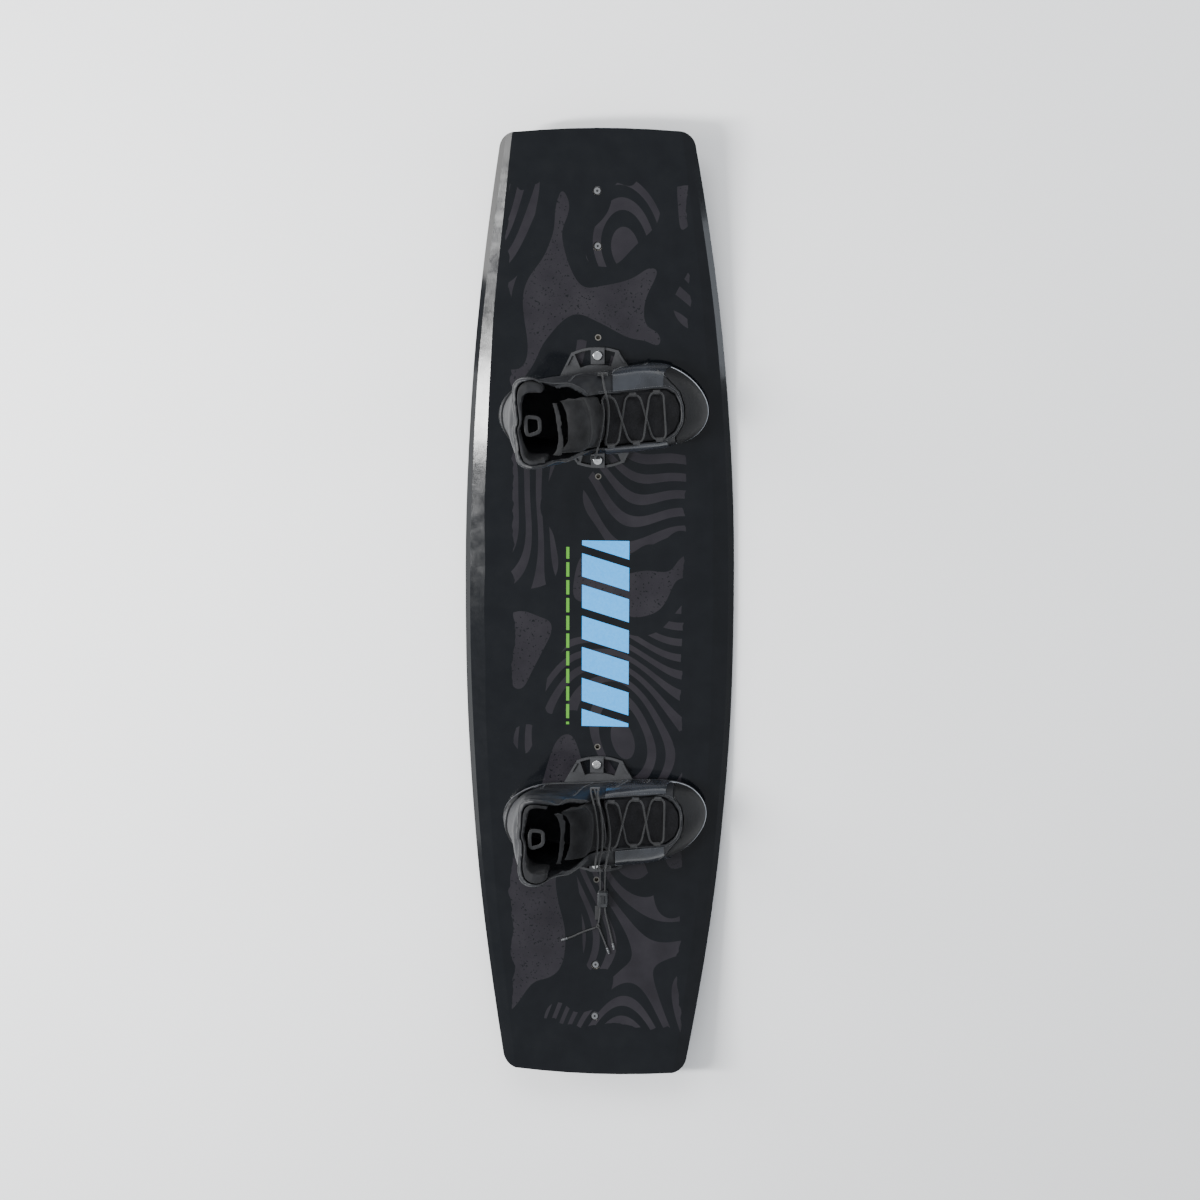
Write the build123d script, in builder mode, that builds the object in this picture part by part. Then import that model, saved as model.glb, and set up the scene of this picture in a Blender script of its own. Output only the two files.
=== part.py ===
"""Wakeboard with two lace-up boots.

Frame: X across the board (heels towards -X, toes towards +X), Y along the board, Z up.
The origin is on the ground under the middle of the base. Millimetres.
The left boot stands at +Y, the right boot at -Y.
"""

from build123d import *
import math
import os

os.makedirs("parts", exist_ok=True)

# ---------------------------------------------------------------- board
BOARD_HALF_LENGTH = 700.0
SIDE = [(200.8, 0), (198.6, 150), (189.6, 300), (180.5, 400), (168.2, 500), (152.8, 600), (140.5, 670), (134.5, 702)]
TIP_SAG = 6.6           # the tip edge is a shallow arc
TIP_CORNER_R = 24.0
SKIN = 1.5              # laminate thickness
BOND = 0.1              # resin line between laminate and core
PARTING = 3.6           # height of the base laminate's turned-up wall
DECK_SLOPE = 0.056      # slope of the flat boot zones
DECK_MID = 22.2
ROCKER = 62.0           # base rise at the tips
FLAT_HALF = 60.0        # flat middle of the base

# ---------------------------------------------------------------- stance
STANCE_HALF = 304.8     # 24 inch stance
BOLT_R = 76.2           # 6 inch between the two screws of a boot
INSERT_PITCH = 25.4
INSERT_BORE_R = 3.0
SCREW_R = 2.95
TILT = math.degrees(math.atan(DECK_SLOPE))
DECK_AT_BOOT = DECK_MID + DECK_SLOPE * 95 / 2 + DECK_SLOPE * (STANCE_HALF - 195)
YAW_LEFT, YAW_RIGHT = 3.0, 0.0
SHIFT_RIGHT = 4.0       # the right boot sits a little further forward in its slots

# ---------------------------------------------------------------- boots
CHASSIS_Z = (0.4, 6.0)
MIDSOLE_Z = (6.2, 14.0)
FOOTBED_Z = (14.3, 20.0)
WALL = 5.0              # thickness of the upper
WINDOW_R = (63.2, 84.6)  # slot for the toothed washer, about the boot's turning axis
WINDOW_HALF_ANGLE = 20.5
EAR_R = 88.2
LACE_R = 1.4
LACE_CENTRE = -7.0      # the lace line runs to the big-toe side of the boot's axis
# height, heel x, toe x, toe y, heel half width, waist outside / inside, forefoot outside / inside
FORM = [
    (14.2, -135, 158, -14, 44, 52, 50, 60, 54),
    (32.0, -139, 157, -14, 46, 55, 53, 62, 56),
    (48.0, -138, 144, -13, 47, 57, 55, 61, 56),
    (61.0, -136, 126, -12, 48, 58, 56, 60, 56),
    (76.0, -132, 96, -10, 49, 59, 56, 58, 55),
    (93.0, -127, 60, -8, 51, 59, 57, 57, 54),
    (113.0, -121, 26, -6, 53, 60, 57, 55, 53),
    (141.0, -115, 6, -4, 56, 60, 58, 53, 52),
    (172.0, -109, -11, -2, 59, 62, 61, 54, 53),
    (206.0, -104, -26, 0, 62, 64, 64, 57, 57),
]

# ---------------------------------------------------------------- fins
FIN_Y = 577.0
FIN_BOLT = 39.0         # half the distance between a fin's two screws
FIN_DEPTH = 31.0


def deck_z(y):
    """Height of the deck over the centre line."""
    y = abs(y)
    if y < 100:
        return DECK_MID
    if y < 195:
        return DECK_MID + DECK_SLOPE * (y - 100) ** 2 / 190
    z = DECK_MID + DECK_SLOPE * 47.5
    if y < 415:
        return z + DECK_SLOPE * (y - 195)
    s = y - 415
    return z + DECK_SLOPE * 220 + DECK_SLOPE * s + (0.2 - DECK_SLOPE) / 305 * s * s / 2


def base_z(y):
    """Height of the base over the centre line."""
    y = max(0.0, abs(y) - FLAT_HALF)
    return ROCKER * (y / 640.0) ** 2


def base_slope(y):
    return 2 * ROCKER * (abs(y) - FLAT_HALF) / 640.0**2


def half_width(y):
    """Half width of the board, without the rounded corners."""
    y = abs(y)
    pts = SIDE + [(129.0, 730)]
    for (w0, y0), (w1, y1) in zip(pts, pts[1:]):
        if y <= y1:
            t = (y - y0) / (y1 - y0)
            return w0 + (w1 - w0) * t
    return pts[-1][0]


def side_face(top, bottom):
    """Side view of the board between its deck lowered by top and its base raised by bottom."""
    with BuildSketch(Plane.YZ) as sk:
        with BuildLine():
            for s in (1, -1):
                d = [(s * y, deck_z(y) - top) for y in (100, 195, 415, 570, 720)]
                Spline([d[0], d[1]], tangents=[(s, 0), (s, DECK_SLOPE)])
                Line(d[1], d[2])
                Spline([d[2], d[3], d[4]], tangents=[(s, DECK_SLOPE), (s, 0.2)])
                b = [(s * y, base_z(y) + bottom) for y in (60, 220, 380, 550, 720)]
                Spline(b, tangents=[(s, 0), (s, base_slope(720))])
                Line(d[4], b[4])
            Line((-100, DECK_MID - top), (100, DECK_MID - top))
            Line((-FLAT_HALF, bottom), (FLAT_HALF, bottom))
        make_face()
    return sk.sketch


def plan_outline(inset):
    """Top view of the board, drawn in by inset all round."""
    edge = [(w, -y) for w, y in reversed(SIDE[1:])] + [(w, y) for w, y in SIDE]
    edge = [(w - inset * math.sqrt(1 + (0.0 if abs(y) < 1 else edge_slope(abs(y))) ** 2), y) for w, y in edge]
    end = 700 - inset
    with BuildSketch(Plane.XY.offset(-30)) as sk:
        with BuildLine():
            Spline(edge)
            Line(edge[-1], (-edge[-1][0], 702))
            Spline([(-x, y) for x, y in edge])
            Line((-edge[0][0], -702), edge[0])
        make_face()
        with BuildSketch(Plane.XY.offset(-30), mode=Mode.INTERSECT):
            with BuildLine():
                ThreePointArc((-240, end - TIP_SAG * 3.2), (0, end), (240, end - TIP_SAG * 3.2))
                Line((240, end - TIP_SAG * 3.2), (240, -end + TIP_SAG * 3.2))
                ThreePointArc((240, -end + TIP_SAG * 3.2), (0, -end), (-240, -end + TIP_SAG * 3.2))
                Line((-240, -end + TIP_SAG * 3.2), (-240, end - TIP_SAG * 3.2))
            make_face()
        fillet([v for v in sk.vertices() if abs(v.Y) > 650], TIP_CORNER_R - inset)
    return sk.sketch


def edge_slope(y):
    for (w0, y0), (w1, y1) in zip(SIDE, SIDE[1:]):
        if y <= y1:
            return (w1 - w0) / (y1 - y0)
    return -0.19


def rail_section(y, lower, inset):
    """What the rail bevel takes off the board at station y."""
    w, z = half_width(y) - inset, deck_z(y) - lower
    t = deck_z(y) - base_z(y)
    b = 30.0 - 14.0 * (min(abs(y), 700) / 700.0) ** 2
    rise = 0.30 * t / (b - 8)
    return [
        (w - b - 12, z + rise * 12),
        (w - 8, z - 0.30 * t),
        (w - 1.5, z - 0.58 * t),
        (w + 5, z - 0.86 * t),
        (w + 60, z - 0.86 * t),
        (w + 60, z + 45),
        (w - b - 12, z + 45),
    ]


def rail_cutter(lower, inset):
    stations = [-730, -640, -520, -400, -260, -120, 0, 120, 260, 400, 520, 640, 730]
    with BuildPart() as cutter:
        for y in stations:
            with BuildSketch(Plane(origin=(0, y, 0), x_dir=(1, 0, 0), z_dir=(0, -1, 0))):
                Polygon(*rail_section(y, lower, inset), align=None)
        loft()
    return cutter.part


def board_body(top, bottom, inset):
    with BuildPart() as body:
        extrude(side_face(top, bottom), amount=230, dir=(1, 0, 0), both=True)
        with BuildSketch(Plane.XY.offset(-30)):
            add(plan_outline(inset))
        extrude(amount=200, both=True, mode=Mode.INTERSECT)
        cut = rail_cutter(top, inset)
        add(cut, mode=Mode.SUBTRACT)
        add(mirror(cut, about=Plane.YZ, mode=Mode.PRIVATE), mode=Mode.SUBTRACT)
    return body.part


def boot_location(side, yaw=0.0, shift=0.0):
    """Where a boot's own frame sits on the deck: side is 1 for the left boot, -1 for the right one."""
    return Location((0, side * STANCE_HALF, DECK_AT_BOOT), (side * TILT, 0, 0)) * Location((shift, 0, 0), (0, 0, yaw))


def fin_location(side):
    return Location((0, side * FIN_Y, base_z(FIN_Y)), (side * math.degrees(math.atan(base_slope(FIN_Y))), 0, 0))


INSERTS = [s * (BOLT_R + k * INSERT_PITCH) for s in (1, -1) for k in (-1, 0, 1)]

outer = board_body(0, 0, 0)
hollow = board_body(SKIN, SKIN, SKIN)
core_blank = board_body(SKIN + BOND, SKIN + BOND, SKIN + BOND)
print("board outer", outer.volume, outer.is_valid, "core", core_blank.volume, core_blank.is_valid)

# Tools that make the holes for the inserts and the fin screws.
with BuildPart() as insert_holes:
    for side in (1, -1):
        for y in INSERTS:
            with Locations(boot_location(side) * Location((0, y, 0))):
                Cylinder(4.6, 40, align=(Align.CENTER, Align.CENTER, Align.CENTER))
with BuildPart() as insert_pockets:
    for side in (1, -1):
        for y in INSERTS:
            with Locations(boot_location(side) * Location((0, y, 0))):
                Cylinder(4.6, 12.1, align=(Align.CENTER, Align.CENTER, Align.MAX))
                with Locations((0, 0, -10.0)):
                    Cylinder(8.1, 4.1, align=(Align.CENTER, Align.CENTER, Align.MAX))
with BuildPart() as fin_holes:
    for side in (1, -1):
        for y in (FIN_BOLT, -FIN_BOLT):
            with Locations(fin_location(side) * Location((0, y, 0))):
                Cylinder(3.3, 90)
                with Locations((0, 0, 8.0)):
                    Cylinder(6.6, 40, align=(Align.CENTER, Align.CENTER, Align.MIN))

with BuildPart() as deck_shell:
    add(outer)
    add(hollow, mode=Mode.SUBTRACT)
    with BuildSketch(Plane.YZ):
        with BuildLine():
            for s in (1, -1):
                b = [(s * y, base_z(y) + PARTING) for y in (60, 220, 380, 550, 720)]
                Spline(b, tangents=[(s, 0), (s, base_slope(720))])
                Line(b[4], (s * 720, -40))
            Line((-720, -40), (720, -40))
            Line((-FLAT_HALF, PARTING), (FLAT_HALF, PARTING))
        make_face()
    extrude(amount=230, both=True, mode=Mode.SUBTRACT)
    add(insert_holes.part, mode=Mode.SUBTRACT)
    add(fin_holes.part, mode=Mode.SUBTRACT)
deck_shell.part.label = "deck_shell"



def base_band(low, high):
    """Side view of the layer between two heights over the base."""
    with BuildSketch(Plane.YZ) as sk:
        with BuildLine():
            for s in (1, -1):
                lo = [(s * y, base_z(y) + low) for y in (60, 220, 380, 550, 720)]
                hi = [(s * y, base_z(y) + high) for y in (60, 220, 380, 550, 720)]
                Spline(lo, tangents=[(s, 0), (s, base_slope(720))])
                Spline(hi, tangents=[(s, 0), (s, base_slope(720))])
                Line(lo[4], hi[4])
            Line((-FLAT_HALF, low), (FLAT_HALF, low))
            Line((-FLAT_HALF, high), (FLAT_HALF, high))
        make_face()
    return sk.sketch


with BuildPart() as base_tray:
    extrude(base_band(SKIN, 12), amount=230, dir=(1, 0, 0), both=True)
    with BuildSketch(Plane.XY.offset(-30)):
        add(plan_outline(SKIN))
    extrude(amount=200, both=True, mode=Mode.INTERSECT)

with BuildPart() as base_shell:
    extrude(base_band(0, PARTING), amount=230, dir=(1, 0, 0), both=True)
    with BuildSketch(Plane.XY.offset(-30)):
        add(plan_outline(0))
    extrude(amount=200, both=True, mode=Mode.INTERSECT)
    add(base_tray.part, mode=Mode.SUBTRACT)
    add(fin_holes.part, mode=Mode.SUBTRACT)
base_shell.part.label = "base_shell"

with BuildPart() as core:
    add(core_blank)
    add(insert_pockets.part, mode=Mode.SUBTRACT)
    add(fin_holes.part, mode=Mode.SUBTRACT)
core.part.label = "foam_core"


# ---------------------------------------------------------------- board hardware
with BuildPart() as inserts:
    for side in (1, -1):
        for y in INSERTS:
            with Locations(boot_location(side) * Location((0, y, 0))):
                Cylinder(4.5, 12, align=(Align.CENTER, Align.CENTER, Align.MAX))
                with Locations((0, 0, -10.1)):
                    Cylinder(8, 1.9, align=(Align.CENTER, Align.CENTER, Align.MAX))
    for side in (1, -1):
        for y in INSERTS:
            with Locations(boot_location(side) * Location((0, y, 1))):
                Cylinder(INSERT_BORE_R, 14, align=(Align.CENTER, Align.CENTER, Align.MAX), mode=Mode.SUBTRACT)
inserts.part.label = "inserts"

with BuildPart() as fin_blank:
    with BuildSketch(Plane.YZ):
        with BuildLine():
            Spline((-62.5, -0.3), (-40, -17), (-8, -FIN_DEPTH + 2), (22, -FIN_DEPTH), (43, -FIN_DEPTH + 6), tangents=[(0.75, -1), (0.6, 1)])
            Line((43, -FIN_DEPTH + 6), (62.5, -0.3))
            Line((62.5, -0.3), (-62.5, -0.3))
        make_face()
    extrude(amount=3.6, both=True)
    with BuildSketch(Plane.XY.offset(-0.3)):
        RectangleRounded(15, 121, 7.4)
    extrude(amount=-2.6)
    for y in (FIN_BOLT, -FIN_BOLT):
        with Locations((0, y, -0.3)):
            Cylinder(5.2, 14, align=(Align.CENTER, Align.CENTER, Align.MAX))
    for y in (FIN_BOLT, -FIN_BOLT):
        with Locations((0, y, 0)):
            Cylinder(2.1, 12, align=(Align.CENTER, Align.CENTER, Align.MAX), mode=Mode.SUBTRACT)
for name, side in (("fin_nose", 1), ("fin_tail", -1)):
    with BuildPart() as fin:
        with Locations(fin_location(side)):
            if side > 0:
                add(mirror(fin_blank.part, about=Plane.XZ, mode=Mode.PRIVATE))
            else:
                add(fin_blank.part)
    fin.part.label = name
    print(name, len(fin.part.solids()), fin.part.is_valid, fin.part.bounding_box())
    export_step(fin.part, f"parts/{name}.step")

FIN_DECK = deck_z(FIN_Y) - base_z(FIN_Y)
with BuildPart() as fin_washers:
    for side in (1, -1):
        for y in (FIN_BOLT, -FIN_BOLT):
            with Locations(fin_location(side) * Location((0, y, 8.2))):
                Cylinder(6.4, 1.6, align=(Align.CENTER, Align.CENTER, Align.MIN))
                Cylinder(3.0, 12, align=(Align.CENTER, Align.CENTER, Align.CENTER), mode=Mode.SUBTRACT)
fin_washers.part.label = "fin_washers"
with BuildPart() as fin_screws:
    for side in (1, -1):
        for y in (FIN_BOLT, -FIN_BOLT):
            with Locations(fin_location(side) * Location((0, y, 9.9))):
                Cylinder(4.6, 2.6, align=(Align.CENTER, Align.CENTER, Align.MIN))
            with Locations(fin_location(side) * Location((0, y, 9.95))):
                Cylinder(2.0, 20.5, align=(Align.CENTER, Align.CENTER, Align.MAX))
            with Locations(fin_location(side) * Location((0, y, 11.2))):
                Cylinder(1.7, 3, align=(Align.CENTER, Align.CENTER, Align.MIN), mode=Mode.SUBTRACT)
fin_screws.part.label = "fin_screws"

# The washers and screws that clamp the boots stay with the board.
with BuildPart() as toothed_washers:
    for side in (1, -1):
        for turn in (0, 180):
            spot = Plane(boot_location(side) * Location((0, 0, 0), (0, 0, turn)))
            with BuildSketch(spot.offset(CHASSIS_Z[0])):
                with BuildLine():
                    r0, r1 = WINDOW_R[0] + 1.2, WINDOW_R[1] - 2.4
                    a0, a1 = math.asin(8.6 / r1), math.asin(8.6 / r0)
                    ThreePointArc((-8.6, r1 * math.cos(a0)), (0, r1), (8.6, r1 * math.cos(a0)))
                    Line((8.6, r1 * math.cos(a0)), (8.6, r0 * math.cos(a1)))
                    ThreePointArc((8.6, r0 * math.cos(a1)), (0, r0), (-8.6, r0 * math.cos(a1)))
                    Line((-8.6, r0 * math.cos(a1)), (-8.6, r1 * math.cos(a0)))
                make_face()
            extrude(amount=CHASSIS_Z[1] - CHASSIS_Z[0] + 0.3)
    for side in (1, -1):
        for end in (1, -1):
            with Locations(boot_location(side) * Location((0, end * (BOLT_R - 0.6), CHASSIS_Z[1] + 0.25))):
                Box(20, 23.4, 2.6, align=(Align.CENTER, Align.CENTER, Align.MIN))
    for side in (1, -1):
        for end in (1, -1):
            with Locations(boot_location(side) * Location((0, end * BOLT_R, 0))):
                Cylinder(3.2, 40, mode=Mode.SUBTRACT)
toothed_washers.part.label = "toothed_washers"

with BuildPart() as binding_screws:
    for side in (1, -1):
        for end in (1, -1):
            with Locations(boot_location(side) * Location((0, end * BOLT_R, 9.05))):
                Cylinder(6.4, 3.2, align=(Align.CENTER, Align.CENTER, Align.MIN))
    fillet(binding_screws.edges().filter_by(GeomType.CIRCLE).group_by(SortBy.RADIUS)[-1], 0.6)
    for side in (1, -1):
        for end in (1, -1):
            with Locations(boot_location(side) * Location((0, end * BOLT_R, 9.1))):
                Cylinder(SCREW_R, 19.2, align=(Align.CENTER, Align.CENTER, Align.MAX))
            with BuildSketch(Plane(boot_location(side) * Location((0, end * BOLT_R, 10.4)))):
                RegularPolygon(2.0, 6, major_radius=False)
            extrude(amount=4, mode=Mode.SUBTRACT)
binding_screws.part.label = "binding_screws"

# ---------------------------------------------------------------- boot, built once as the left one
# Boot frame: X forward, Y towards the outside of the foot, Z square to the deck,
# origin midway between its two screws.


def form_at(z):
    """The boot form's measures at one height."""
    rows = FORM
    if z <= rows[0][0]:
        return list(rows[0][1:])
    for a, b in zip(rows, rows[1:]):
        if z <= b[0]:
            t = (z - a[0]) / (b[0] - a[0])
            return [p + (q - p) * t for p, q in zip(a[1:], b[1:])]
    return list(rows[-1][1:])


def form_points(z, inset):
    """Outline of the boot at one height, moved in by inset (out when negative)."""
    xh, xt, yt, hw, ml, mm, fl, fm = form_at(z)
    toe = inset * (1.0 if z < 30 or z > 100 else 1.7)
    xh, xt = xh + inset, xt - toe
    hw, ml, mm, fl, fm = (v - inset for v in (hw, ml, mm, fl, fm))
    n = xt - xh
    lean = yt * 0.6
    return [
        (xh, 0),
        (xh + 0.05 * n, hw * 0.62),
        (xh + 0.16 * n, hw * 0.97),
        (xh + 0.34 * n, hw * 0.45 + ml * 0.55),
        (xh + 0.56 * n, ml * 0.7 + fl * 0.3 + lean * 0.1),
        (xh + 0.78 * n, fl * 0.97),
        (xh + 0.92 * n, fl * 0.66 + yt * 0.2),
        (xt, yt),
        (xh + 0.93 * n, -fm * 0.80 + yt * 0.05),
        (xh + 0.78 * n, -fm),
        (xh + 0.56 * n, -mm * 0.7 - fm * 0.3 + lean * 0.1),
        (xh + 0.34 * n, -hw * 0.45 - mm * 0.55),
        (xh + 0.16 * n, -hw * 0.97),
        (xh + 0.05 * n, -hw * 0.62),
    ]


def form_solid(inset, levels=None):
    """Solid of the boot form between the first and the last level."""
    levels = levels or [r[0] for r in FORM]
    with BuildPart() as body:
        for z in levels:
            with BuildSketch(Plane.XY.offset(z)):
                with BuildLine():
                    Spline(form_points(z, inset), periodic=True)
                make_face()
        loft()
    return body.part


def side_prism(points, y0, y1, smooth=False):
    """Prism with a side-view outline, from y0 to y1."""
    with BuildPart() as body:
        with BuildSketch(Plane.XZ.offset(-y0)):
            with BuildLine():
                if smooth:
                    Spline(points, periodic=True)
                else:
                    Polyline(*points, close=True)
            make_face()
        extrude(amount=-(y1 - y0))
    return body.part


def plan_prism(points, z0, z1, shrink=0.0):
    """Prism with a plan-view outline, from z0 to z1."""
    with BuildPart() as body:
        with BuildSketch(Plane.XY.offset(z0)):
            with BuildLine():
                Polyline(*points, close=True)
            make_face()
            if shrink:
                offset(amount=-shrink)
        extrude(amount=z1 - z0)
    return body.part


def roof(x, y):
    """Height of the boot form over a point of its plan."""
    def inside(z):
        pts = form_points(z, 0)
        hit = False
        for (x0, y0), (x1, y1) in zip(pts, pts[1:] + pts[:1]):
            if (y0 > y) != (y1 > y) and x < x0 + (y - y0) / (y1 - y0) * (x1 - x0):
                hit = not hit
        return hit
    z = 200.0
    while z > 14.2 and not inside(z):
        z -= 0.25
    return z


def tube(points, radius, limits=None):
    """A cord: straight runs joined by tangent arcs, with the arcs as large as the runs allow."""
    v = [Vector(*p) for p in points]
    radii = []
    for i in range(1, len(v) - 1):
        run0, run1 = (v[i] - v[i - 1]), (v[i + 1] - v[i])
        half = math.radians(run0.get_angle(run1)) / 2
        r = 0.45 * min(run0.length, run1.length) / math.tan(half)
        if limits and limits.get(i):
            r = min(r, limits[i] / math.tan(half))
        radii.append(r)
    with BuildPart() as body:
        with BuildLine() as path:
            FilletPolyline(*v, radius=radii)
        with BuildSketch(Plane(origin=path.line @ 0, z_dir=path.line % 0)):
            Circle(radius)
        sweep()
    length = sum(e.length for e in path.edges())
    print("  cord radii", [round(r, 1) for r in radii], "length", round(length, 1),
          "volume ratio", round(body.part.volume / (math.pi * radius**2 * length), 4), body.part.is_valid)
    return body.part


form_outer = form_solid(0)
form_inner = form_solid(WALL)
form_liner = form_solid(WALL + 0.4)
form_over0 = form_solid(-0.3)
form_over1 = form_solid(-2.0)
form_mesh0 = form_solid(1.2)
form_mesh1 = form_solid(4.0)
form_rim0 = form_solid(WALL + 0.8)
form_rim1 = form_solid(WALL + 10.5, [141.0, 172.0, 206.0])
form_pad0 = form_solid(2.0)
form_pad1 = form_solid(15.0, [104.0, 122.0, 141.0, 172.0, 206.0])
print("forms", [round(f.volume) for f in (form_outer, form_inner, form_mesh0, form_mesh1, form_over0, form_over1, form_rim0, form_rim1)],
      [f.is_valid for f in (form_outer, form_inner, form_mesh0, form_mesh1, form_over0, form_over1, form_rim0, form_rim1)])

# What is cut off above the cuff's top edge, seen from the side.
CUFF = [(-150, 186), (-104, 191), (-78, 199), (-58, 196), (-40, 180), (-22, 156), (-8, 138), (20, 134)]
above_cuff = side_prism(CUFF + [(60, 134), (60, 300), (-150, 300)], -90, 90)
above_rim = side_prism([(x, z + 3.5) for x, z in CUFF] + [(60, 137.5), (60, 300), (-150, 300)], -90, 90)
THROAT = [(-75, 32), (-30, 33), (12, 30), (50, 29), (88, 30), (104, 29), (116, 20), (122, 6), (123, -6), (121, -18),
          (113, -32), (100, -40), (88, -43), (50, -44), (12, -44), (-30, -42), (-75, -40)]
throat = plan_prism(THROAT, 40, 260)
TOE_LINE = [(88, 90), (92, 58), (111, 38), (124, 22), (129, 2), (129, -10), (126, -24), (114, -40), (114, -90)]
toe_zone = plan_prism(TOE_LINE + [(230, -90), (230, 90)], 10, 90)
toe_zone_wide = plan_prism([(x - 0.3, y) for x, y in TOE_LINE] + [(230, -90), (230, 90)], 5, 95)

with BuildPart() as shell:
    add(form_outer)
    add(form_inner, mode=Mode.SUBTRACT)
    add(above_cuff, mode=Mode.SUBTRACT)
    add(throat, mode=Mode.SUBTRACT)
    add(toe_zone_wide, mode=Mode.SUBTRACT)

with BuildPart() as toe_cap:
    add(form_outer)
    add(form_inner, mode=Mode.SUBTRACT)
    add(toe_zone, mode=Mode.INTERSECT)

throat_in = plan_prism(THROAT, 30, 270, shrink=0.8)
with BuildPart() as mesh_tongue:
    add(form_mesh0)
    add(form_mesh1, mode=Mode.SUBTRACT)
    add(plan_prism([(15, 60), (15, -60), (140, -60), (140, 60)], 41, 115.4), mode=Mode.INTERSECT)
    add(throat_in, mode=Mode.INTERSECT)

# Padded tongue: a fixed foot behind the laces and the part above them that flexes.
TONGUE_SPLIT = 150.4
with BuildPart() as tongue_foot:
    add(form_pad0)
    add(form_pad1, mode=Mode.SUBTRACT)
    add(side_prism([(-6, 116), (60, 116), (60, TONGUE_SPLIT - 1.6), (-20, TONGUE_SPLIT - 1.6)], -60, 60), mode=Mode.INTERSECT)
    add(throat_in, mode=Mode.INTERSECT)
with BuildPart() as tongue_pad:
    add(form_pad0)
    add(form_pad1, mode=Mode.SUBTRACT)
    add(side_prism([(-27, TONGUE_SPLIT + 1.6), (60, TONGUE_SPLIT + 1.6), (60, 204), (-50, 204)], -60, 60), mode=Mode.INTERSECT)
    add(throat_in, mode=Mode.INTERSECT)
    print("tongue solids", [(round(x.volume), x.bounding_box()) for x in tongue_pad.solids()])
    add(tongue_pad.solids().sort_by(SortBy.VOLUME)[-1], mode=Mode.REPLACE)

with BuildPart() as collar_rim:
    add(form_rim0)
    add(form_rim1, mode=Mode.SUBTRACT)
    add(above_rim, mode=Mode.SUBTRACT)
    add(plan_prism([(-160, 90), (-58, 90), (-58, -90), (-160, -90)], 150, 260), mode=Mode.INTERSECT)

side_window = side_prism([(32, 132), (30, 60), (34, 22), (110, 20), (102, 50), (92, 132)], 33, 90)
side_window_in = side_prism([(16, 132), (18, 60), (26, 22), (108, 20), (104, 50), (94, 132)], -90, -46)
with BuildPart() as side_panels:
    add(form_over1)
    add(form_over0, mode=Mode.SUBTRACT)
    add(side_window + side_window_in, mode=Mode.INTERSECT)

with BuildPart() as heel_counter:
    add(form_over1)
    add(form_over0, mode=Mode.SUBTRACT)
    add(side_prism([(-170, 16), (-84, 16), (-94, 50), (-114, 80), (-170, 86)], -90, 90), mode=Mode.INTERSECT)

SOLE = form_points(14.2, -1.5)
with BuildPart() as midsole:
    with BuildSketch(Plane.XY.offset(MIDSOLE_Z[0])):
        with BuildLine():
            Spline(SOLE, periodic=True)
        make_face()
    extrude(amount=MIDSOLE_Z[1] - MIDSOLE_Z[0])
    fillet(midsole.faces().sort_by(Axis.Z)[-1].edges(), 1.2)
    for x, y in ((-92, 22), (-92, -22), (62, 28), (62, -28)):
        with Locations((x, y, 9.8)):
            Cylinder(6.6, 10, align=(Align.CENTER, Align.CENTER, Align.MIN), mode=Mode.SUBTRACT)
        with Locations((x, y, 0)):
            Cylinder(3.2, 40, mode=Mode.SUBTRACT)

with BuildPart() as boot_screws:
    for x, y in ((-92, 22), (-92, -22), (62, 28), (62, -28)):
        with Locations((x, y, 10.0)):
            Cylinder(6.2, 2.4, align=(Align.CENTER, Align.CENTER, Align.MIN))
        with Locations((x, y, 10.1)):
            Cylinder(3.0, 9.0, align=(Align.CENTER, Align.CENTER, Align.MAX))

with BuildPart() as footbed:
    with BuildSketch(Plane.XY.offset(FOOTBED_Z[0])):
        with BuildLine():
            Spline(form_points(14.2, WALL + 1.0), periodic=True)
        make_face()
    extrude(amount=FOOTBED_Z[1] - FOOTBED_Z[0])


def ring_sector(r0, r1, half, z0, height, toward):
    """Sector of a ring about the boot's turning axis, centred on +Y (toward 1) or -Y (-1)."""
    a = math.radians(half)
    with BuildPart() as body:
        with BuildSketch(Plane.XY.offset(z0)):
            with BuildLine():
                s, c = math.sin(a), math.cos(a) * toward
                ThreePointArc((-r1 * s, r1 * c), (0, r1 * toward), (r1 * s, r1 * c))
                Line((r1 * s, r1 * c), (r0 * s, r0 * c))
                ThreePointArc((r0 * s, r0 * c), (0, r0 * toward), (-r0 * s, r0 * c))
                Line((-r0 * s, r0 * c), (-r1 * s, r1 * c))
            make_face()
        extrude(amount=height)
    return body.part


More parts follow.
